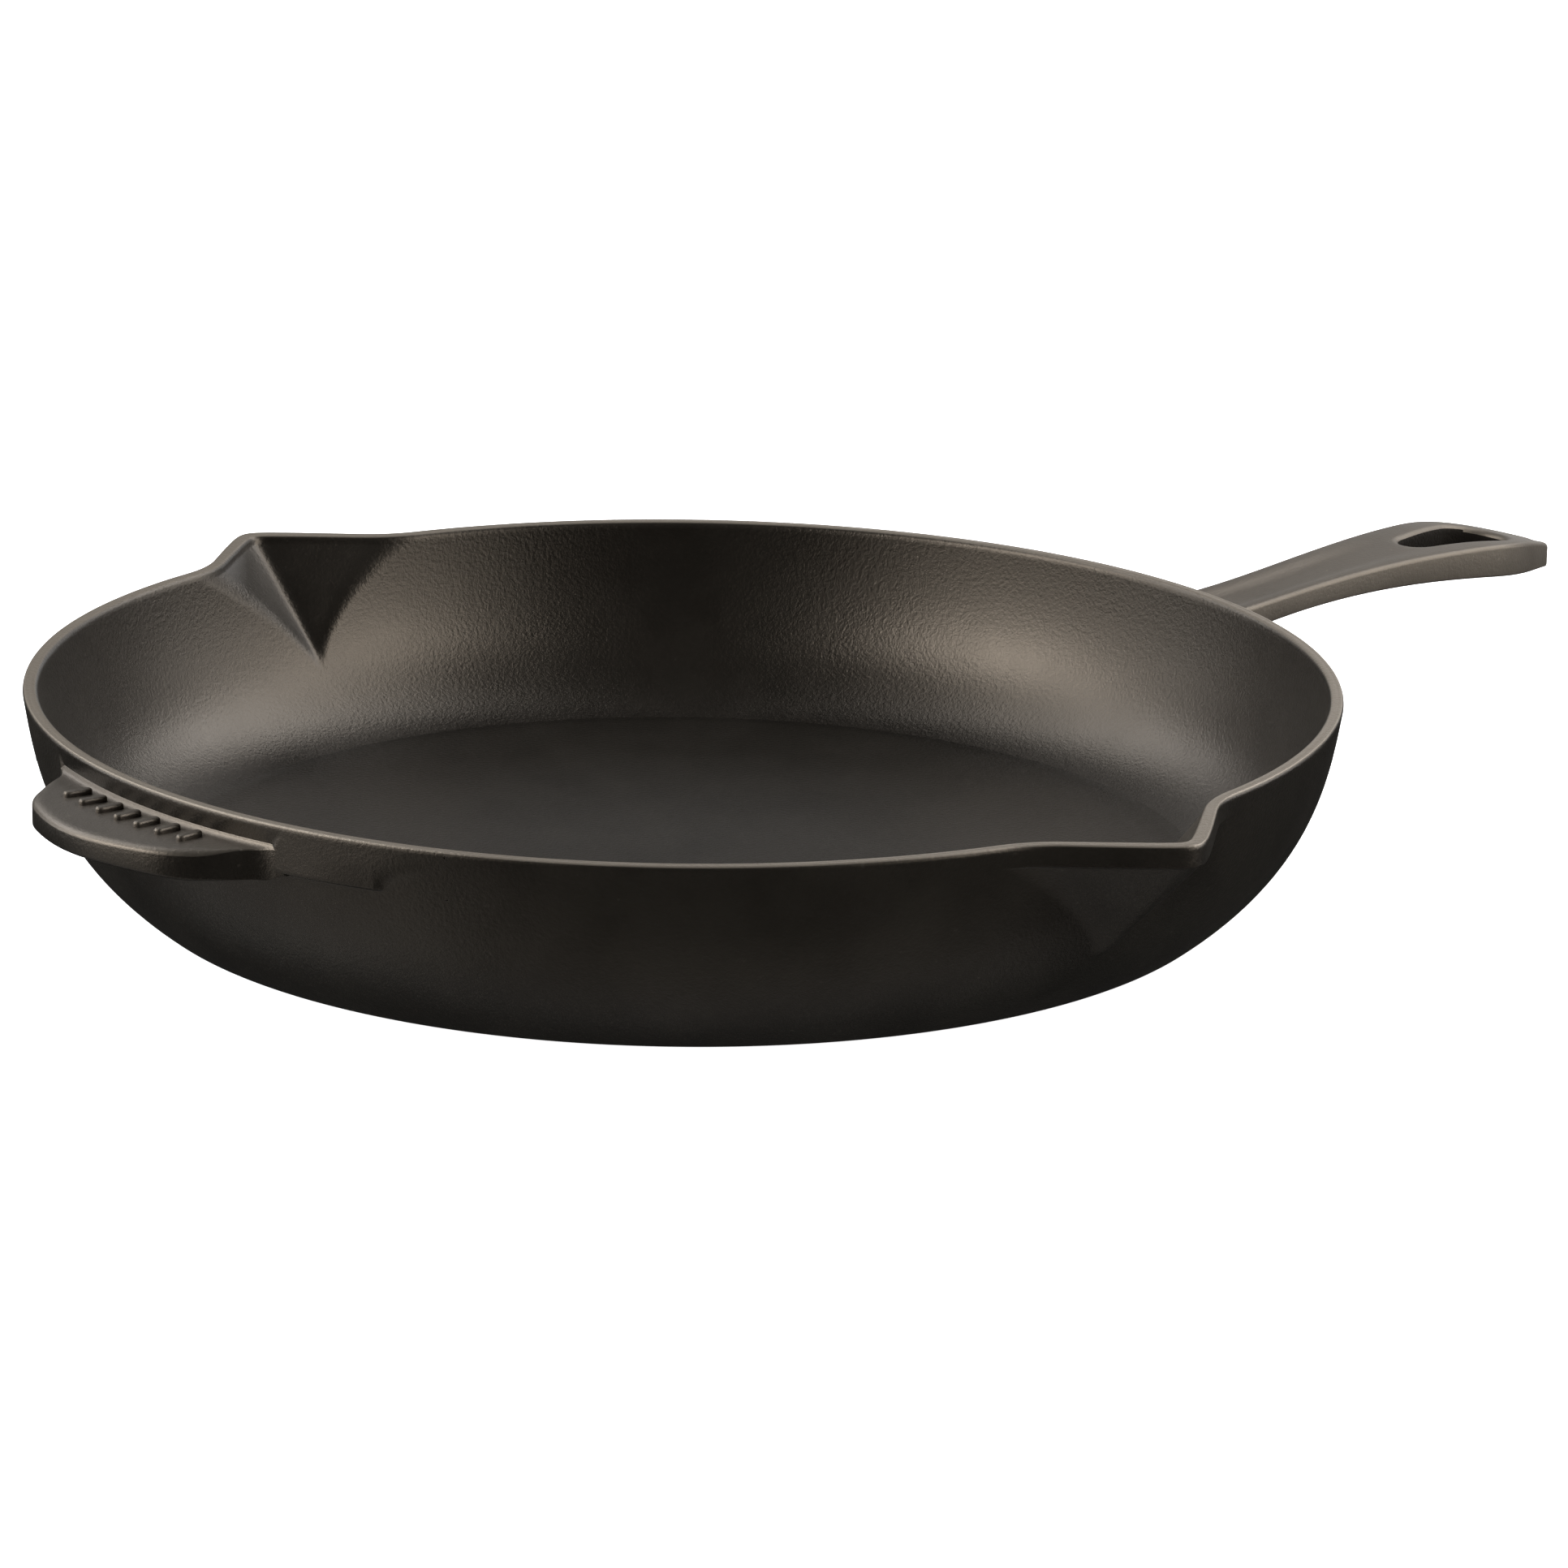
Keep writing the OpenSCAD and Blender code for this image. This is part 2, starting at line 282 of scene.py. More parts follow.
def shoulder_bump(angles, z, radius):
    """How far the two pads beside the helper handle stand out from the wall, per column.

    They are flush with the rim's side next to the handle. Away from it they run out into the
    wall, with a crisp lower corner and a soft upper part.
    """
    side = 180 - np.abs(180 - angles)
    up = smoothstep(SHOULDER_LOW - PAD_EDGE, SHOULDER_LOW + PAD_EDGE, z)
    high = smoothstep(SHOULDER_LOW + PAD_SOFT_Z[0], SHOULDER_LOW + PAD_SOFT_Z[1], z)
    start = PAD_CORNER - PAD_SPREAD * high
    run_out = smoothstep(start, start + PAD_CRISP + PAD_SOFT * high, side)
    low = 1 - smoothstep(SHOULDER_LOW, SHOULDER_LOW + 7 * MM, z)
    proud = 1 - PAD_LESS * low * (1 - smoothstep(PAD_FULL - 7, PAD_FULL, side))
    end = PAD_END - PAD_LEAN * smoothstep(HELPER_TOP, TOP_Z, z)
    end += PAD_TUCK * (1 - smoothstep(HELPER_TOP - PAD_STEP, HELPER_TOP + PAD_STEP, z))
    beside = 1 - smoothstep(end - PAD_FADE, end, side)
    return (SIDE_R - radius) * proud * up * run_out * beside


# ---- mesh helpers ---------------------------------------------------------------

def make_piece(name, node, points, faces, material, normals=None):
    """A closed mesh that stands for a CAD node and rides on the only body."""
    mesh = bpy.data.meshes.new(name)
    mesh.from_pydata([tuple(p) for p in points], [], faces)
    mesh.validate()
    mesh.polygons.foreach_set("use_smooth", [True] * len(mesh.polygons))
    if normals is not None:
        mesh.normals_split_custom_set_from_vertices([tuple(n) for n in normals])
    mesh.materials.append(material)
    mesh.update()
    piece = bpy.data.objects.new(name, mesh)
    bpy.context.scene.collection.objects.link(piece)
    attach(piece, "root")
    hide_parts(node)
    return piece


def grid_normals(points):
    """Unit normals of a closed-round grid of points, shape (rings, columns, 3)."""
    across = np.roll(points, -1, axis=1) - points
    along = points[1:] - points[:-1]
    cell = np.cross(across[:-1], along)
    total = np.zeros_like(points)
    for ring_shift in (0, 1):
        for col_shift in (0, 1):
            part = np.roll(cell, col_shift, axis=1)
            total[ring_shift:len(points) - 1 + ring_shift] += part
    return total / np.maximum(np.linalg.norm(total, axis=2, keepdims=True), 1e-12)


def renumbered(points, normals, faces):
    """The same faces with only the points that they use."""
    used = sorted({v for f in faces for v in f})
    place = {v: i for i, v in enumerate(used)}
    return points[used], normals[used], [tuple(place[v] for v in f) for f in faces]


class Bowl:
    """The pan's whole surface as rings and columns, from which each piece takes its share."""

    def __init__(self):
        outer, inner, self.spout_level, self.band_level = section_levels()
        angles = column_angles()
        theta = np.radians(angles)
        self.columns = len(angles)
        self.levels = len(outer)
        self.lip_edge = self.levels - LIP_RINGS - 1
        off_axis = (angles + 90) % 180 - 90
        self.phi = np.radians(90 - np.abs(off_axis))
        self.in_spout = {
            "left": (angles >= 90 - SPOUT_ZONE) & (angles < 90 + SPOUT_ZONE),
            "right": (angles >= 270 - SPOUT_ZONE) & (angles < 270 + SPOUT_ZONE),
        }
        self.direction = np.stack([np.cos(theta), np.sin(theta)], axis=1)
        self.outer = self.rings(outer, spout_outside)
        self.inner = self.rings(inner, spout_inside)
        for ring, (radius, z) in zip(self.outer, outer):
            ring[:, :2] += self.direction * shoulder_bump(angles, z, radius)[:, None]
        self.even_lip()
        self.pads = self.pad_ranges(angles, outer[:, 1])
        self.seat = self.outer.copy()
        for cols, rows in self.pads:
            inner_cols = slice(cols.start + 1, cols.stop)
            inner_rows = slice(rows.start + 1, rows.stop)
            self.seat[inner_rows, inner_cols, :2] -= self.direction[inner_cols] * SHOULDER_SEAT
        self.floor = self.flat_rings(FLOOR_T)
        self.under = self.flat_rings(0.0)
        strip = np.concatenate([self.under, self.outer, self.inner[-2::-1], self.floor[::-1]])
        normals = grid_normals(strip)
        n_under = len(self.under)
        self.under_normals = normals[:n_under]
        self.outer_normals = normals[n_under:n_under + self.levels]
        inner_part = normals[n_under + self.levels:n_under + 2 * self.levels - 1]
        self.inner_normals = np.concatenate([inner_part[::-1], self.outer_normals[-1:]])
        self.floor_normals = normals[n_under + 2 * self.levels - 1:][::-1]

    def rings(self, section, shape):
        """Rings of a section, with the spouts' shape added at each height."""
        rings = []
        for radius, z in section:
            r = np.full(self.columns, radius)
            if z > SPOUT_LOW_Z:
                r = shape(self.phi, z, r)
            rings.append(np.column_stack([self.direction * r[:, None], np.full(self.columns, z)]))
        return np.array(rings)

    def even_lip(self):
        """Sets the lip's rings in from the two faces that they join, spouts included."""
        edge = self.lip_edge
        outside = self.outer[edge][:, :2]
        inside = self.inner[edge][:, :2]
        width = np.linalg.norm(inside - outside, axis=1, keepdims=True)
        across = (inside - outside) / width
        from_out = [LIP_OUT[0] * (1 - math.cos(a)) for a in LIP_ANGLES]
        from_in = [LIP_IN[0] * (1 - math.cos(a)) for a in LIP_ANGLES]
        from_out += [LIP_LINE - LIP_LINE_HALF_W, LIP_LINE]
        for n, step in enumerate(from_out):
            self.outer[edge + 1 + n][:, :2] = outside + across * step
        for n, step in enumerate(from_in):
            self.inner[edge + 1 + n][:, :2] = inside - across * step
        self.inner[-2][:, :2] = outside + across * (LIP_LINE + LIP_LINE_HALF_W)
        self.inner[-1][:, :2] = outside + across * LIP_LINE

    def pad_ranges(self, angles, heights):
        """The cells that each pad covers, as a range of columns and a range of levels."""
        near, far = SHOULDER_ZONE
        low = int(np.argmin(np.abs(heights[:self.lip_edge] - (SHOULDER_LOW - PAD_EDGE))))
        rows = range(low, self.lip_edge)
        places = []
        for a, b in ((near, far), (360 - far, 360 - near)):
            first, last = (int(np.argmin(np.abs(angles - x))) for x in (a, b))
            places.append((range(first, last), rows))
        return places

    def pad_part(self):
        """Points, normals and faces of the two pads, each closed by its seat in the wall."""
        n = self.columns
        back = self.levels * n
        points = np.concatenate([self.outer.reshape(-1, 3), self.seat.reshape(-1, 3)])
        normals = np.concatenate([self.outer_normals.reshape(-1, 3),
                                  -self.outer_normals.reshape(-1, 3)])
        faces = []
        for cols, rows in self.pads:
            for i in cols:
                for k in rows:
                    corners = [(i, k), (i + 1, k), (i + 1, k + 1), (i, k + 1)]
                    faces.append(tuple(b * n + a for a, b in corners))
                    inside = [cols.start < a < cols.stop and rows.start < b < rows.stop
                              for a, b in corners]
                    faces.append(tuple(b * n + a + back * hidden
                                       for (a, b), hidden in zip(corners, inside))[::-1])
        return renumbered(points, normals, faces)

    def flat_rings(self, z):
        """Rings from near the axis out to just inside the floor's edge, at one height."""
        even = np.linspace(6, 108, 12) * MM
        near_edge = FLOOR_R - np.array((6, 3, 1.2)) * MM
        radii = np.concatenate([even, near_edge])
        height = np.full(self.columns, z)
        return np.array([np.column_stack([self.direction * r, height]) for r in radii])

    def part(self, keep):
        """Points, normals and faces of the blocks that keep marks, shape (columns, levels - 1)."""
        n = self.columns
        top = self.levels
        points = np.concatenate([self.seat.reshape(-1, 3), self.inner.reshape(-1, 3)])
        normals = np.concatenate([self.outer_normals.reshape(-1, 3),
                                  self.inner_normals.reshape(-1, 3)])

        def out(i, k):
            return k * n + i % n

        def inn(i, k):
            return out(i, k) if k == top - 1 else (top + k) * n + i % n

        faces = []
        for i, k in np.argwhere(keep).tolist():
            j = i + 1
            faces.append((out(i, k), out(j, k), out(j, k + 1), out(i, k + 1)))
            faces.append((inn(i, k), inn(i, k + 1), inn(j, k + 1), inn(j, k)))
            if k == 0 or not keep[i, k - 1]:
                faces.append((out(i, k), inn(i, k), inn(j, k), out(j, k)))
            if k < top - 2 and not keep[i, k + 1]:
                faces.append((out(i, k + 1), out(j, k + 1), inn(j, k + 1), inn(i, k + 1)))
            if not keep[i - 1, k]:
                faces.append((out(i, k), out(i, k + 1), inn(i, k + 1), inn(i, k)))
            if not keep[j % n, k]:
                faces.append((out(j, k), inn(j, k), inn(j, k + 1), out(j, k + 1)))
        faces = [tuple(dict.fromkeys(f)) for f in faces]
        return renumbered(points, normals, faces)

    def floor_part(self):
        """Points, normals and faces of the floor disc."""
        n = self.columns
        top = np.concatenate([self.floor, self.inner[:1]])
        low = np.concatenate([self.under, self.outer[:1]])
        top_normals = np.concatenate([self.floor_normals, self.inner_normals[:1]])
        low_normals = np.concatenate([self.under_normals, self.outer_normals[:1]])
        rings = len(top)
        faces = []
        for i in range(n):
            j = (i + 1) % n
            for k in range(rings - 1):
                a = k * n
                b = a + n
                faces.append((a + i, b + i, b + j, a + j))
                a += rings * n
                b += rings * n
                faces.append((a + j, b + j, b + i, a + i))
            edge_top = (rings - 1) * n
            edge_low = (2 * rings - 1) * n
            faces.append((edge_top + i, edge_low + i, edge_low + j, edge_top + j))
        centre_top = 2 * rings * n
        centre_low = centre_top + 1
        for i in range(n):
            j = (i + 1) % n
            faces.append((centre_top, i, j))
            faces.append((centre_low, rings * n + j, rings * n + i))
        points = np.concatenate([top.reshape(-1, 3), low.reshape(-1, 3),
                                 [(0, 0, FLOOR_T), (0, 0, 0)]])
        normals = np.concatenate([top_normals.reshape(-1, 3), low_normals.reshape(-1, 3),
                                  [(0, 0, 1), (0, 0, -1)]])
        return points, normals, faces


# ---- rounded plates -------------------------------------------------------------

LEAST_ROUND = 0.02          # share of its rounding that a sharp edge keeps
FOLD_CLEAR = 0.3 * MM       # how near a fold may come to a rim
ROW_SHARE = 0.87            # height of an even triangle for a side of 1
RIM_CLEAR = 0.55            # how near the inner points come to a rim, as a share of their spacing
SAME_POINT = 1e-7           # metres within which the triangles join two points


def loop_normals(loop):
    """Unit normals of a closed outline, to the right of its direction of travel."""
    ahead = np.roll(loop, -1, axis=0) - np.roll(loop, 1, axis=0)
    ahead /= np.linalg.norm(ahead, axis=1, keepdims=True)
    return np.column_stack([ahead[:, 1], -ahead[:, 0]])


def plate(outlines, top, bottom, top_round, low_round, spacing, soft=None, folds=()):
    """A closed plate with rounded edges, as points and faces.

    outlines are closed loops of (x, y): the outside anticlockwise and any hole clockwise.
    top and bottom give the height of each face at (x, y) arrays, before the edges are rounded.
    top_round and low_round are how far the rounding goes across the face and down the side.
    soft(x, y) scales the rounding, 0 for a sharp edge and 1 for the full size.
    folds are open lines of (x, y) on the top face that its triangles keep to.
    """
    points = []
    faces = []
    rims = {"top": [], "bottom": []}
    quarter = np.radians(np.linspace(0, 90, 6))
    for loop in outlines:
        outward = loop_normals(loop)
        scale = np.ones(len(loop)) if soft is None else soft(*loop.T)
        scale = np.maximum(scale, LEAST_ROUND)
        rows = []
        for a in quarter[::-1]:
            at = loop - outward * (top_round[0] * scale * (1 - math.cos(a)))[:, None]
            rows.append((at, top(*at.T) - top_round[1] * scale * (1 - math.sin(a))))
        for a in quarter:
            at = loop - outward * (low_round[0] * scale * (1 - math.cos(a)))[:, None]
            rows.append((at, bottom(*at.T) + low_round[1] * scale * (1 - math.sin(a))))
        start = len(points)
        n = len(loop)
        for at, z in rows:
            points += [(x, y, h) for (x, y), h in zip(at, z)]
        for k in range(len(rows) - 1):
            for i in range(n):
                j = (i + 1) % n
                a = start + k * n
                b = a + n
                faces.append((a + i, b + i, b + j, a + j))
        rims["top"].append((rows[0][0], start))
        rims["bottom"].append((rows[-1][0], start + (len(rows) - 1) * n))
    cover(points, faces, rims["top"], top, spacing, folds, flip=False)
    cover(points, faces, rims["bottom"], bottom, spacing, (), flip=True)
    return points, faces


def cover(points, faces, rims, height, spacing, folds, flip):
    """Fills the space between the rims with triangles that follow the height function."""
    flat = []
    index = []
    edges = []
    for loop, start in rims:
        first = len(flat)
        flat += [Vector(p) for p in loop]
        index += range(start, start + len(loop))
        edges += [(first + i, first + (i + 1) % len(loop)) for i in range(len(loop))]
    rim = np.array([tuple(p) for p in flat])
    low = rim.min(0)
    high = rim.max(0)
    for line in folds:
        clear = [Vector(p) for p in line if np.hypot(*(rim - p).T).min() > FOLD_CLEAR]
        clear = [p for p in clear if inside_rims(p, rims)]
        edges += [(len(flat) + i, len(flat) + i + 1) for i in range(len(clear) - 1)]
        flat += clear
        index += [None] * len(clear)
    rim = np.array([tuple(p) for p in flat])
    for row, y in enumerate(np.arange(low[1], high[1], spacing * ROW_SHARE)):
        for x in np.arange(low[0] + (row % 2) * spacing / 2, high[0], spacing):
            if np.hypot(*(rim - (x, y)).T).min() > spacing * RIM_CLEAR:
                flat.append(Vector((x, y)))
                index.append(None)
    verts, _, tris, origin, _, _ = delaunay_2d_cdt(flat, edges, [], 2, SAME_POINT)
    place = {}
    for v, came_from in enumerate(origin):
        known = [index[o] for o in came_from if index[o] is not None]
        if known:
            place[v] = known[0]
    for tri in tris:
        centre = sum((verts[v] for v in tri), Vector((0, 0))) / 3
        if not inside_rims(centre, rims):
            continue
        for v in tri:
            if v not in place:
                x, y = verts[v]
                place[v] = len(points)
                points.append((x, y, float(height(np.array([x]), np.array([y]))[0])))
        corner = [place[v] for v in tri]
        faces.append(tuple(corner[::-1] if flip else corner))


def inside_rims(at, rims):
    """Whether a point is inside the outline and outside its holes."""
    crossings = 0
    for loop, _ in rims:
        x0, y0 = loop.T
        x1, y1 = np.roll(loop, -1, axis=0).T
        spans = (y0 > at.y) != (y1 > at.y)
        with np.errstate(divide="ignore", invalid="ignore"):
            cut = x0 + (at.y - y0) * (x1 - x0) / (y1 - y0)
        crossings += int(np.sum(spans & (at.x < cut)))
    return crossings % 2 == 1


def resample(points, step):
    """An open line's points at an even spacing close to step, both ends kept."""
    points = np.array(points, float)
    length = np.concatenate([[0], np.cumsum(np.linalg.norm(np.diff(points, axis=0), axis=1))])
    count = max(int(round(length[-1] / step)), 2)
    at = np.linspace(0, length[-1], count + 1)
    return np.column_stack([np.interp(at, length, points[:, 0]), np.interp(at, length, points[:, 1])])


# ---- materials ------------------------------------------------------------------

WARM_GLOSS = (1.0, 0.84, 0.67, 1)       # tint of the iron's reflections
RIM_HIGHLIGHT_TINT = (0.42, 0.37, 0.31)          # pale colour painted along the rim's top as its highlight
RIM_HIGHLIGHT_HEIGHTS = (TOP_Z - 0.5 * MM, TOP_Z - 0.05 * MM)    # where the painted highlight starts and is full


def cast_iron(name, tone, roughness, grain, gloss=1.5, rim_highlight=0.0):
    """Matte black cast iron with a fine orange-peel skin and a little uneven colour.

    tone is the mean colour, grain the height of the skin's bumps and the last argument the
    share of a highlight painted on the rim's flat top, as pale colour and metal gloss.
    """
    material = bpy.data.materials.new(name)
    material.use_nodes = True
    nodes = material.node_tree.nodes
    links = material.node_tree.links
    nodes.clear()
    output = nodes.new("ShaderNodeOutputMaterial")
    shader = nodes.new("ShaderNodeBsdfPrincipled")
    links.new(shader.outputs["BSDF"], output.inputs["Surface"])
    shader.inputs["Specular Tint"].default_value = WARM_GLOSS
    shader.inputs["IOR"].default_value = gloss
    place = nodes.new("ShaderNodeTexCoord").outputs["Object"]

    def noise(scale, detail=2.0, rough=0.5):
        node = nodes.new("ShaderNodeTexNoise")
        node.inputs["Scale"].default_value = scale
        node.inputs["Detail"].default_value = detail
        node.inputs["Roughness"].default_value = rough
        links.new(place, node.inputs["Vector"])
        return node.outputs["Fac"]

    def ramp(value, given, result=(0.0, 1.0)):
        node = nodes.new("ShaderNodeMapRange")
        node.interpolation_type = "SMOOTHSTEP"
        for key, x in zip(("From Min", "From Max", "To Min", "To Max"), (*given, *result)):
            node.inputs[key].default_value = x
        links.new(value, node.inputs["Value"])
        return node.outputs["Result"]

    def mix(factor, a, b):
        node = nodes.new("ShaderNodeMix")
        node.data_type = "RGBA"
        links.new(factor, node.inputs["Factor"])
        for key, value in (("A", a), ("B", b)):
            socket = [s for s in node.inputs if s.name == key and s.type == "RGBA"][0]
            if isinstance(value, tuple):
                socket.default_value = (*value, 1)
            else:
                links.new(value, socket)
        return [s for s in node.outputs if s.type == "RGBA"][0]

    dark = tuple(0.8 * c for c in tone)
    light = tuple(1.2 * c for c in tone)
    colour = mix(ramp(noise(scale=40, detail=4), (0.35, 0.65)), dark, light)
    specks = ramp(noise(scale=620, detail=1), (0.74, 0.80), (0.0, 0.5))
    colour = mix(specks, colour, tuple(5 * c for c in tone))
    rough = ramp(noise(scale=90, detail=4), (0.3, 0.7), (roughness - 0.015, roughness + 0.015))
    # Painted highlight: pale colour and metal gloss along the rim's top stand in for the light it
    # catches.
    if rim_highlight:
        split = nodes.new("ShaderNodeSeparateXYZ")
        links.new(place, split.inputs["Vector"])
        rim_highlight_mask = ramp(split.outputs["Z"], RIM_HIGHLIGHT_HEIGHTS, (0.0, rim_highlight))
        colour = mix(rim_highlight_mask, colour, RIM_HIGHLIGHT_TINT)
        links.new(rim_highlight_mask, shader.inputs["Metallic"])
    links.new(colour, shader.inputs["Base Color"])
    links.new(rough, shader.inputs["Roughness"])
    peel = nodes.new("ShaderNodeBump")
    peel.inputs["Strength"].default_value = 1.0
    peel.inputs["Distance"].default_value = grain
    links.new(noise(scale=1050, detail=3, rough=0.7), peel.inputs["Height"])
    links.new(peel.outputs["Normal"], shader.inputs["Normal"])
    return material


IRON = (0.0042, 0.0038, 0.0032)         # the black skin
PAINTED_LIT_TONE = tuple(4 * c for c in IRON)    # paler tone: painted light that makes the handles look more lit than the body
SHADED = tuple(0.4 * c for c in IRON)   # darker, inside the hanging hole
# the body's skin carries the rim's painted highlight
body_iron = cast_iron("iron_body", IRON, roughness=0.33, grain=0.13 * MM, rim_highlight=0.32)
floor_iron = cast_iron("iron_floor", IRON, roughness=0.36, grain=0.20 * MM)
# both handles take the paler, painted-lit tone
handle_iron = cast_iron("iron_handle", PAINTED_LIT_TONE, roughness=0.52, grain=0.09 * MM, gloss=1.85)
helper_iron = cast_iron("iron_helper", PAINTED_LIT_TONE, roughness=0.42, grain=0.10 * MM, gloss=1.7)
hole_iron = cast_iron("iron_hole", SHADED, roughness=0.8, grain=0.3 * MM, gloss=1.25)


# ---- the bowl's pieces ----------------------------------------------------------

def build_bowl():
    bowl = Bowl()
    points, normals, faces = bowl.floor_part()
    make_piece("skillet_floor", "pan_floor", points, faces, floor_iron, normals)
    in_any = bowl.in_spout["left"] | bowl.in_spout["right"]
    level = np.arange(bowl.levels - 1)[None, :]
    wall = (level < bowl.band_level) & ~(in_any[:, None] & (level >= bowl.spout_level))
    band = (level >= bowl.band_level) & ~in_any[:, None]
    shares = [("skillet_wall", "pan_wall", "iron_body", wall),
              ("skillet_rim_band", "rim_band", "iron_rim", band)]
    for side in ("left", "right"):
        spout = (level >= bowl.spout_level) & bowl.in_spout[side][:, None]
        shares.append((f"skillet_spout_{side}", f"pour_spout_{side}", "iron_body", spout))
    for name, node, slot, keep in shares:
        points, normals, faces = bowl.part(keep)
        make_piece(name, node, points, faces, body_iron, normals)
    points, normals, faces = bowl.pad_part()
    make_piece("skillet_helper_shoulders", "helper_shoulders", points, faces,
               body_iron, normals)


# ---- long handle ----------------------------------------------------------------

HANDLE_ROOT_R = 149.2 * MM  # the root is cut to this circle, inside the wall's side
HANDLE_FLARE = (148.8 * MM, 18 * MM)    # the root's corner, where the handle is widest at the wall
HANDLE_NECK = (164 * MM, 11.3 * MM)     # where the flare has run out
HANDLE_WIDE_X = HANDLE_END - 30 * MM    # where the eye round the hole is widest
HANDLE_NOSE = (HANDLE_END - 2.8 * MM, 5.8 * MM)     # corner of the blunt end
HANDLE_CROWN = 0.4 * MM     # how far the crown stands above the frame's node
HANDLE_ROUND = (1.2 * MM, 1.1 * MM)     # rounding of its top edges, across and down
HANDLE_LOW_ROUND = (0.8 * MM, 0.8 * MM)
HOLE_ROUND = 1.8            # the hole's rounding, as a multiple of the handle's
HOLE_FAR_X = HANDLE_END - 25 * MM       # centre and radius of the hole's wide end
HOLE_FAR_R = 9 * MM
HOLE_NEAR_X = HOLE_FAR_X - 19 * MM      # centre and radius of its narrow end
HOLE_NEAR_R = 5 * MM
OUTLINE_STEP = 0.9 * MM     # spacing of the points along a handle's outline


def handle_outline():
    """The long handle from above: flared at the wall, narrow neck, wide eye, blunt end."""
    widest = (HANDLE_WIDE_X, HANDLE_HALF_W)
    flare = bezier(HANDLE_FLARE, (151.5 * MM, 13.8 * MM), (155 * MM, 12.2 * MM), HANDLE_NECK, 14)
    neck = bezier(HANDLE_NECK, (205 * MM, 8.0 * MM), (HANDLE_WIDE_X - 15 * MM, HANDLE_HALF_W),
                  widest, 60)
    eye = bezier(widest, (HANDLE_WIDE_X + 10 * MM, HANDLE_HALF_W),
                 (HANDLE_END - 11 * MM, 10 * MM), HANDLE_NOSE, 40)
    nose = bezier(HANDLE_NOSE, (HANDLE_END - 1.1 * MM, 5.0 * MM), (HANDLE_END, 3.9 * MM),
                  (HANDLE_END, 2.0 * MM), 10)
    half = np.concatenate([flare, neck[1:], eye[1:], nose[1:], [(HANDLE_END, 0)]])
    lower = half * (1, -1)
    outside = np.concatenate([lower, half[::-1][1:]])
    outside = resample(outside, OUTLINE_STEP)
    end = math.atan2(HANDLE_FLARE[1], HANDLE_FLARE[0])
    root = [(HANDLE_ROOT_R * math.cos(a), HANDLE_ROOT_R * math.sin(a))
            for a in np.linspace(end, -end, 40)[1:-1]]
    return np.concatenate([outside, root])


def teardrop():
    """The hanging hole, clockwise: a wide round end outwards and a narrow one inwards."""
    lean = math.asin((HOLE_FAR_R - HOLE_NEAR_R) / (HOLE_FAR_X - HOLE_NEAR_X))
    turn = math.pi / 2 + lean
    far = [(HOLE_FAR_X + HOLE_FAR_R * math.cos(a), HOLE_FAR_R * math.sin(a))
           for a in np.linspace(turn, -turn, 40)]
    near = [(HOLE_NEAR_X + HOLE_NEAR_R * math.cos(a), HOLE_NEAR_R * math.sin(a))
            for a in np.linspace(-turn, turn - 2 * math.pi, 20)]
    return resample(far + near + far[:1], OUTLINE_STEP)[:-1]


def build_long_handle():
    root_x = RIM_R - 12 * MM
    top_x = HANDLE_END - 40 * MM
    peak = HANDLE_TOP + HANDLE_CROWN
    rise = bezier((root_x, 42 * MM), (root_x + 28 * MM, 36.2 * MM),
                  (root_x + 58 * MM, peak + 0.6 * MM), (top_x, peak), 60)
    fall = bezier((top_x, peak), (top_x + 15 * MM, peak),
                  (HANDLE_END - 15 * MM, 43 * MM), (HANDLE_END, 38.3 * MM), 60)
    ridge = np.concatenate([rise, fall[1:]])
    under = bezier((root_x, 29.5 * MM), (root_x + 48 * MM, 37 * MM),
                   (HANDLE_END - 62 * MM, 43 * MM), (HANDLE_END, 32.2 * MM), 120)
    outline = handle_outline()
    upper = outline[outline[:, 1] > 0]
    upper = upper[np.argsort(upper[:, 0])]

    def top(x, y):
        """The ridge line, with a shallow dish along it that fades out towards the hole."""
        half = np.interp(x, upper[:, 0], upper[:, 1])
        depth = 1.1 * MM * (1 - smoothstep(200 * MM, 250 * MM, x)) + 0.15 * MM
        across = np.abs(y) / np.maximum(half - 2.2 * MM, 1 * MM)
        dish = depth * (1 - smoothstep(0.35, 1.0, across))
        return np.interp(x, ridge[:, 0], ridge[:, 1]) - dish

    def bottom(x, y):
        return np.interp(x, under[:, 0], under[:, 1])

    def in_hole(x, y):
        """Whether a point is on the hole's side and not on the handle's outside."""
        along = (x > HOLE_NEAR_X - HOLE_NEAR_R - 1 * MM) & (x < HOLE_FAR_X + HOLE_FAR_R + 1 * MM)
        return along & (np.abs(y) < HOLE_FAR_R + 0.3 * MM)

    def soft(x, y):
        """Full rounding along the handle, none where its root meets the wall."""
        return np.where(in_hole(x, y), HOLE_ROUND, smoothstep(150.5 * MM, 155 * MM, x))

    points, faces = plate([outline, teardrop()], top, bottom, HANDLE_ROUND, HANDLE_LOW_ROUND,
                          spacing=1.6 * MM, soft=soft)
    piece = make_piece("skillet_long_handle", "long_handle", points, faces,
                       handle_iron)
    piece.data.materials.append(hole_iron)
    for face in piece.data.polygons:
        x, y, z = face.center
        if in_hole(x, y) and abs(face.normal.z) < 0.5:
            face.material_index = 1


# ---- helper handle --------------------------------------------------------------

HELPER_ROOT_R = 150.0 * MM  # the root is cut to this circle, inside the pads' faces
HELPER_ROOT_ANGLE = math.radians(16.4)  # half of the angle that the root spans
HELPER_BEVEL = (2.6 * MM, 1.3 * MM)     # rounding of its top edges, across and down
HELPER_LOW_ROUND = (1.0 * MM, 1.0 * MM)
HELPER_COVE = 1.7 * MM      # radius of the hollow between its top and the rim
FOLD_ANGLE = 0.27           # radians each side that the cove's fold lines span


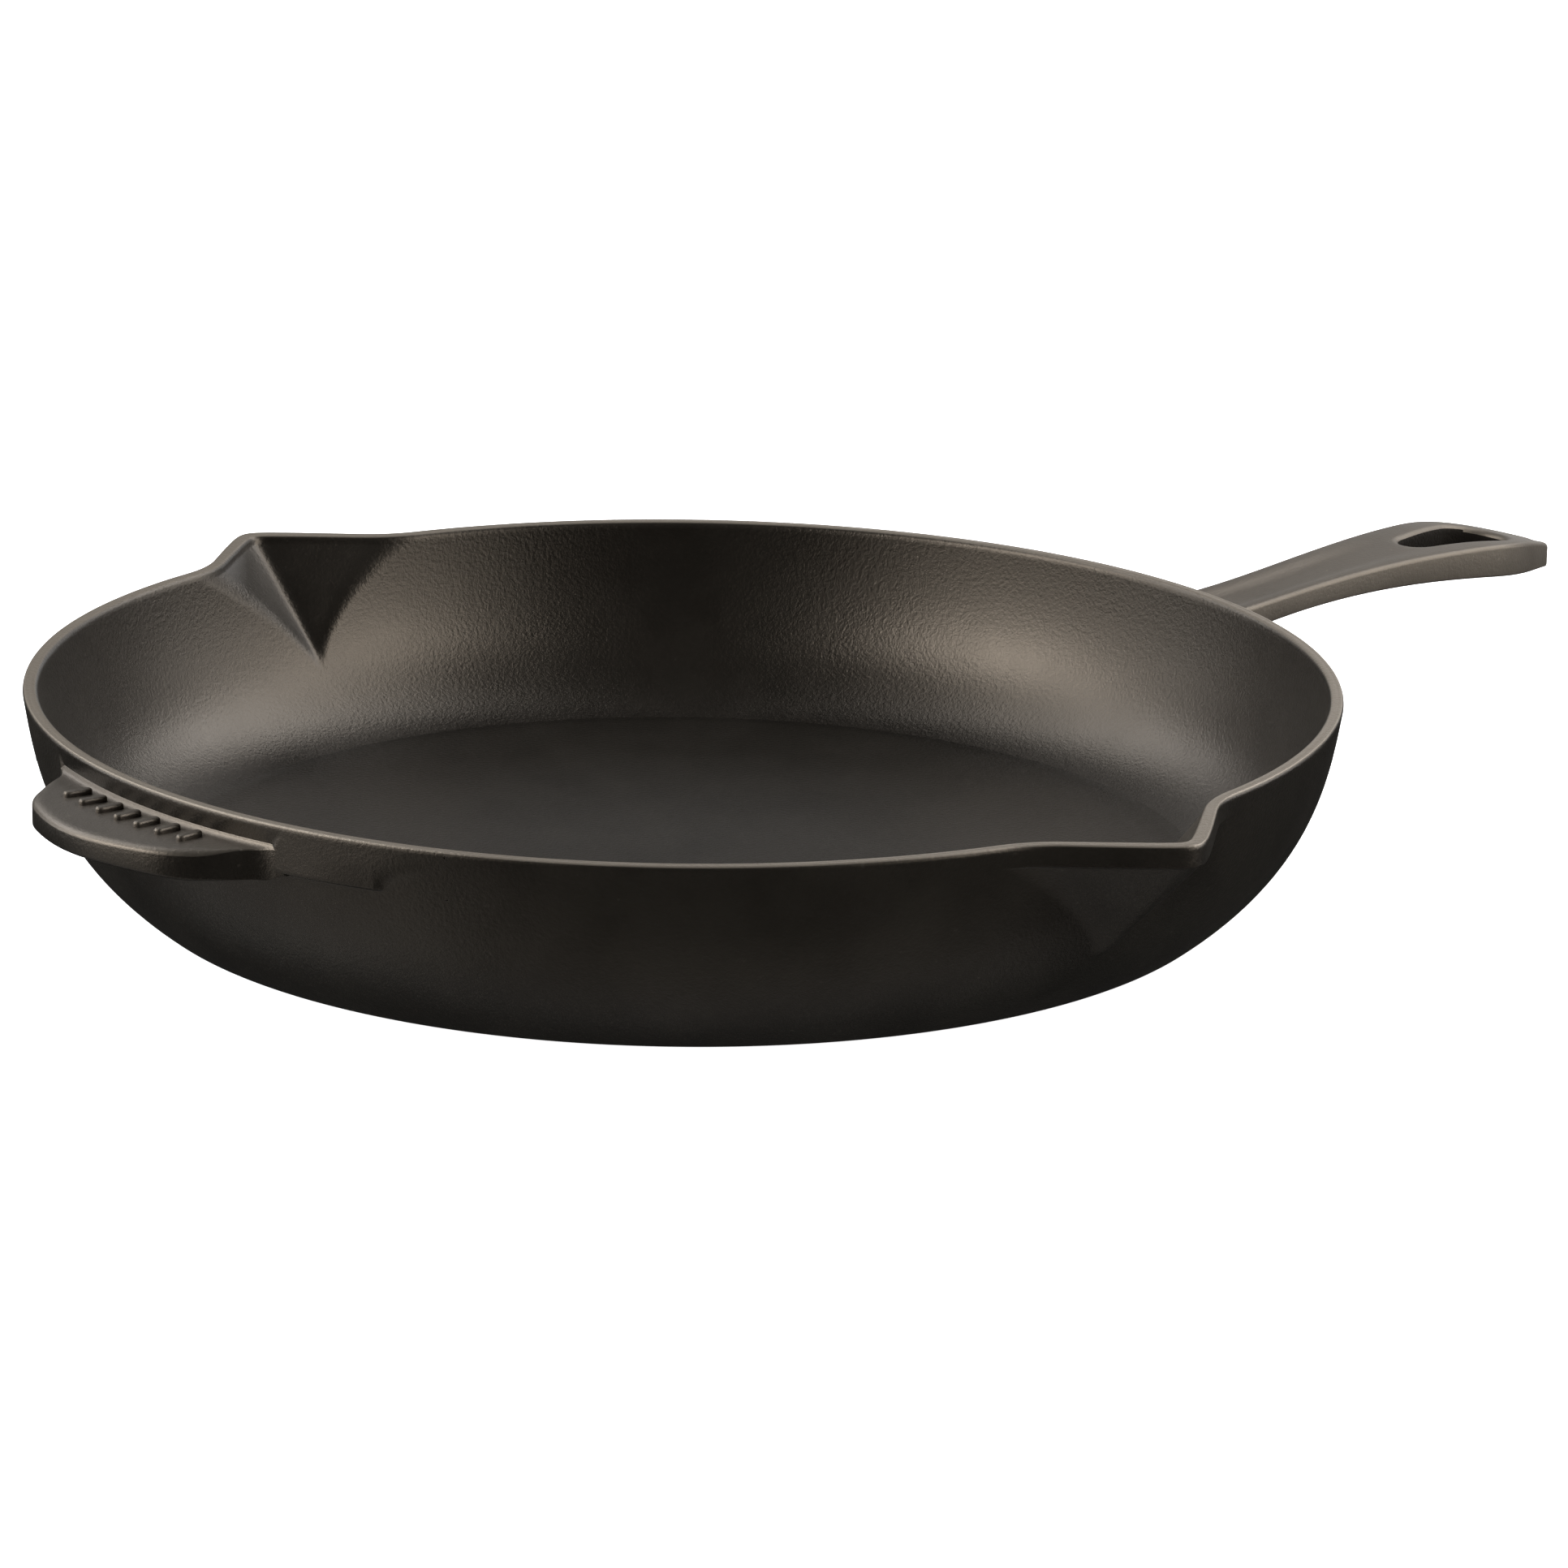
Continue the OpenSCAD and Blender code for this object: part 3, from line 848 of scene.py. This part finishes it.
def helper_outline():
    """The helper handle from above, anticlockwise: its sides run flush into the pads.

    It runs from the root's corner along the flush side, round the neck and the corner to the
    middle of the tip, and mirrored back.
    """
    reach = -HELPER_REACH
    aim = np.array((-math.cos(HELPER_ROOT_ANGLE), math.sin(HELPER_ROOT_ANGLE)))
    root = (SIDE_R - 0.5 * MM) * aim
    flush = (-147.35 * MM, 40.58 * MM)
    neck = (-152.6 * MM, 34.6 * MM)
    corner = (reach + 4.7 * MM, 20.4 * MM)
    side = bezier(flush, (-148.0 * MM, 38.2 * MM), (-150.1 * MM, 35.8 * MM), neck, 12)
    turn = bezier(neck, (-159.8 * MM, 31.2 * MM), (-165.2 * MM, 27.5 * MM), corner, 20)
    arc = bezier(corner, (reach + 1.7 * MM, 13.2 * MM), (reach, 6.5 * MM), (reach, 0), 20)
    half = np.concatenate([[root], side, turn[1:], arc[1:]])
    outside = np.concatenate([half, (half * (1, -1))[::-1][1:]])
    outside = resample(outside, OUTLINE_STEP)
    back = [(-HELPER_ROOT_R * math.cos(a), HELPER_ROOT_R * math.sin(a))
            for a in np.linspace(-HELPER_ROOT_ANGLE, HELPER_ROOT_ANGLE, 90)]
    return np.concatenate([outside, back])


def build_helper():
    outline = helper_outline()
    cove = HELPER_COVE
    wall_r = float(outer_radius(HELPER_TOP)) + 0.1 * MM

    def top(x, y):
        """A flat top that curves up into the rim's side."""
        gap = np.clip(np.hypot(x, y) - wall_r, 0, cove)
        return HELPER_TOP + cove - np.sqrt(np.maximum(cove ** 2 - (cove - gap) ** 2, 0))

    def bottom(x, y):
        """A flat underside that rises a little at the tip and beside the root."""
        tip = 1.3 * MM * smoothstep(160 * MM, HELPER_REACH, -x)
        root = 1.7 * MM * smoothstep(14.2, 16.2, np.degrees(np.arctan2(np.abs(y), -x)))
        return HELPER_LOW + tip + root

    def soft(x, y):
        """Full rounding round the tip, little at the sides and none at the pads."""
        away = smoothstep(150.5 * MM, 154.5 * MM, np.hypot(x, y))
        return away * (0.25 + 0.75 * smoothstep(152 * MM, 161 * MM, -x))

    arc = np.linspace(math.pi - FOLD_ANGLE, math.pi + FOLD_ANGLE, 120)
    folds = [np.column_stack([np.cos(arc), np.sin(arc)]) * (wall_r + cove * (1 - math.cos(a)))
             for a in np.radians((0, 25, 40, 55, 70, 90))]
    points, faces = plate([outline], top, bottom, HELPER_BEVEL, HELPER_LOW_ROUND,
                          spacing=0.9 * MM, soft=soft, folds=folds)
    piece = make_piece("skillet_helper_handle", "helper_handle", points, faces,
                       helper_iron)
    piece.data.materials.append(body_iron)
    # Painted light: the top and bevel keep the paler tone, while the sides and the underside take the
    # body's darker one.
    for face in piece.data.polygons:
        if face.center.z < HELPER_TOP - HELPER_BEVEL[1]:
            face.material_index = 1


# ---- grip ribs ------------------------------------------------------------------

RIB_COUNT = 7
RIB_PITCH = 7.0 * MM
RIB_LENGTH = 7.0 * MM
RIB_WIDTH = 2.4 * MM
RIB_ROW_X = -157.6 * MM     # the row's middle
RIB_ROW_BEND = 300 * MM     # twice the radius along which the row bends with the rim
RIB_SINK = 0.6 * MM         # how deep the bars are set into the handle
RIB_ROUND = (0.6 * MM, 0.6 * MM)        # rounding of their top edges, across and down
RIB_LOW_ROUND = (0.2 * MM, 0.2 * MM)


def rib_outline(centre, turn, length, width):
    """A small bar with round ends, anticlockwise."""
    r = width / 2
    run = length / 2 - r
    half_turn = np.linspace(-1.57, 1.57, 9)
    right = [(run + r * math.cos(a), r * math.sin(a)) for a in half_turn]
    left = [(-run - r * math.cos(a), -r * math.sin(a)) for a in half_turn]
    c = math.cos(turn)
    s = math.sin(turn)
    loop = resample(right + left + right[:1], 0.4 * MM)[:-1]
    return np.array([(centre[0] + x * c - y * s, centre[1] + x * s + y * c) for x, y in loop])


def build_ribs():
    def top(x, y):
        return np.full(np.shape(x), RIB_TOP)

    def bottom(x, y):
        return np.full(np.shape(x), HELPER_TOP - RIB_SINK)

    points = []
    faces = []
    for i in range(RIB_COUNT):
        y = (i - (RIB_COUNT - 1) / 2) * RIB_PITCH
        x = RIB_ROW_X + y * y / RIB_ROW_BEND
        outline = rib_outline((x, y), math.atan2(y, x), RIB_LENGTH, RIB_WIDTH)
        bar_points, bar_faces = plate([outline], top, bottom, RIB_ROUND, RIB_LOW_ROUND,
                                      spacing=0.7 * MM)
        faces += [tuple(v + len(points) for v in f) for f in bar_faces]
        points += bar_points
    make_piece("skillet_helper_ribs", "helper_grip_ribs", points, faces, helper_iron)


build_bowl()
build_long_handle()
build_helper()
build_ribs()


# ---- camera, floor and light ----------------------------------------------------

CAMERA_AZIMUTH = -40.65     # degrees round the pan from -Y
CAMERA_ELEVATION = 16.09    # degrees above the horizon
CAMERA_ROLL = 0.88          # degrees
CAMERA_DISTANCE = 1.6
CAMERA_LENS = 156.78        # millimetres, on a 36 mm wide sensor
AIM_RIGHT = 23.88 * MM      # the view's centre, measured across and up from the origin
AIM_UP = 22.13 * MM
LIGHT_DISTANCE = 1.2
LIGHT_AIM = (0, 0, 0.03)    # the point that every soft box faces
STAGE_HALF = 6.0            # half of the floor's side
STAGE_DROP = 0.2 * MM       # how far the floor lies below the base


def camera_axes():
    """The camera's right, up and backward directions."""
    a = math.radians(CAMERA_AZIMUTH)
    e = math.radians(CAMERA_ELEVATION)
    back = Vector((math.sin(a) * math.cos(e), -math.cos(a) * math.cos(e), math.sin(e)))
    level = Vector((math.cos(a), math.sin(a), 0))
    upright = back.cross(level)
    roll = math.radians(CAMERA_ROLL)
    right = level * math.cos(roll) + upright * math.sin(roll)
    up = upright * math.cos(roll) - level * math.sin(roll)
    return right, up, back


def add_camera():
    right, up, back = camera_axes()
    data = bpy.data.cameras.new("camera")
    data.sensor_width = 36.0
    data.lens = CAMERA_LENS
    data.clip_start = 0.05
    data.clip_end = 50.0
    camera = bpy.data.objects.new("camera", data)
    bpy.context.scene.collection.objects.link(camera)
    place = right * AIM_RIGHT + up * AIM_UP + back * CAMERA_DISTANCE
    turn = Matrix((right, up, back)).transposed()
    camera.matrix_world = Matrix.Translation(place) @ turn.to_4x4()
    bpy.context.scene.camera = camera


def around(azimuth, elevation, distance):
    """A point seen from the pan at an angle round from the camera, and above the horizon."""
    a = math.radians(CAMERA_AZIMUTH + azimuth)
    e = math.radians(elevation)
    return Vector((math.sin(a) * math.cos(e), -math.cos(a) * math.cos(e), math.sin(e))) * distance


def soft_box(name, azimuth, elevation, width, height, brightness):
    """A soft box facing the pan, hidden from the camera itself.

    Its angles are as in around, its width and height are in metres.
    """
    data = bpy.data.lights.new(name, "AREA")
    data.shape = "RECTANGLE"
    data.size = width
    data.size_y = height
    data.energy = math.pi * width * height * brightness
    lamp = bpy.data.objects.new(name, data)
    bpy.context.scene.collection.objects.link(lamp)
    offset = around(azimuth, elevation, LIGHT_DISTANCE)
    lamp.location = Vector(LIGHT_AIM) + offset
    lamp.rotation_mode = "QUATERNION"
    lamp.rotation_quaternion = (-offset).to_track_quat("-Z", "Y")
    lamp.visible_camera = False


def add_floor():
    """A plain pale floor, which the pan's gloss doesn't mirror."""
    mesh = bpy.data.meshes.new("studio_floor")
    half = STAGE_HALF
    mesh.from_pydata([(-half, -half, 0), (half, -half, 0), (half, half, 0), (-half, half, 0)],
                     [], [(0, 1, 2, 3)])
    floor = bpy.data.objects.new("studio_floor", mesh)
    bpy.context.scene.collection.objects.link(floor)
    floor.location.z = -STAGE_DROP
    material = bpy.data.materials.new("studio_floor")
    material.use_nodes = True
    shader = material.node_tree.nodes["Principled BSDF"]
    shader.inputs["Base Color"].default_value = (0.8, 0.8, 0.8, 1)
    shader.inputs["Roughness"].default_value = 0.9
    shader.inputs["Specular IOR Level"].default_value = 0.0
    shader.inputs["Emission Color"].default_value = (1, 1, 1, 1)
    shader.inputs["Emission Strength"].default_value = 0.95
    mesh.materials.append(material)
    floor.visible_glossy = False
    floor.visible_shadow = False


def add_world():
    """A dim room round the pan, which the camera sees as a pale backdrop."""
    world = bpy.data.worlds.new("studio")
    bpy.context.scene.world = world
    world.use_nodes = True
    nodes = world.node_tree.nodes
    links = world.node_tree.links
    room = nodes["Background"]
    room.inputs["Color"].default_value = (1, 1, 1, 1)
    room.inputs["Strength"].default_value = 0.02
    backdrop = nodes.new("ShaderNodeBackground")
    backdrop.inputs["Color"].default_value = (1, 1, 1, 1)
    backdrop.inputs["Strength"].default_value = 1.0
    choose = nodes.new("ShaderNodeMixShader")
    links.new(nodes.new("ShaderNodeLightPath").outputs["Is Camera Ray"], choose.inputs["Fac"])
    links.new(room.outputs["Background"], choose.inputs[1])
    links.new(backdrop.outputs["Background"], choose.inputs[2])
    links.new(choose.outputs["Shader"], nodes["World Output"].inputs["Surface"])


def add_lights():
    """Two soft keys beside the pan, and dimmer boxes for what the studio reflects."""
    soft_box("key_left", -72, 34, 0.64, 0.5, 11.4)
    soft_box("key_right", 72, 34, 0.64, 0.5, 7.2)
    soft_box("wide_left", -120, 42, 1.1, 0.8, 3.9)
    soft_box("wide_right", 122, 42, 1.1, 0.8, 4.8)
    soft_box("low_left", -84, 10, 1.8, 0.4, 3.3)
    soft_box("low_right", 84, 10, 1.8, 0.4, 3.5)
    soft_box("front_left", -45, 12, 0.5, 0.5, 1.0)
    soft_box("front_right", 48, 12, 0.5, 0.5, 1.1)
    soft_box("bounce", -66, -12, 0.9, 0.5, 0.6)
    soft_box("glow", 0, -74, 2.4, 1.2, 0.17)
    soft_box("side_glow", -78, -38, 1.2, 0.8, 0.3)
    soft_box("back", 180, 25, 0.9, 0.34, 0.5)
    soft_box("back_right", 162, 5, 0.8, 0.4, 1.0)


add_camera()
add_floor()
add_world()
add_lights()
bpy.context.scene.view_settings.view_transform = "Standard"
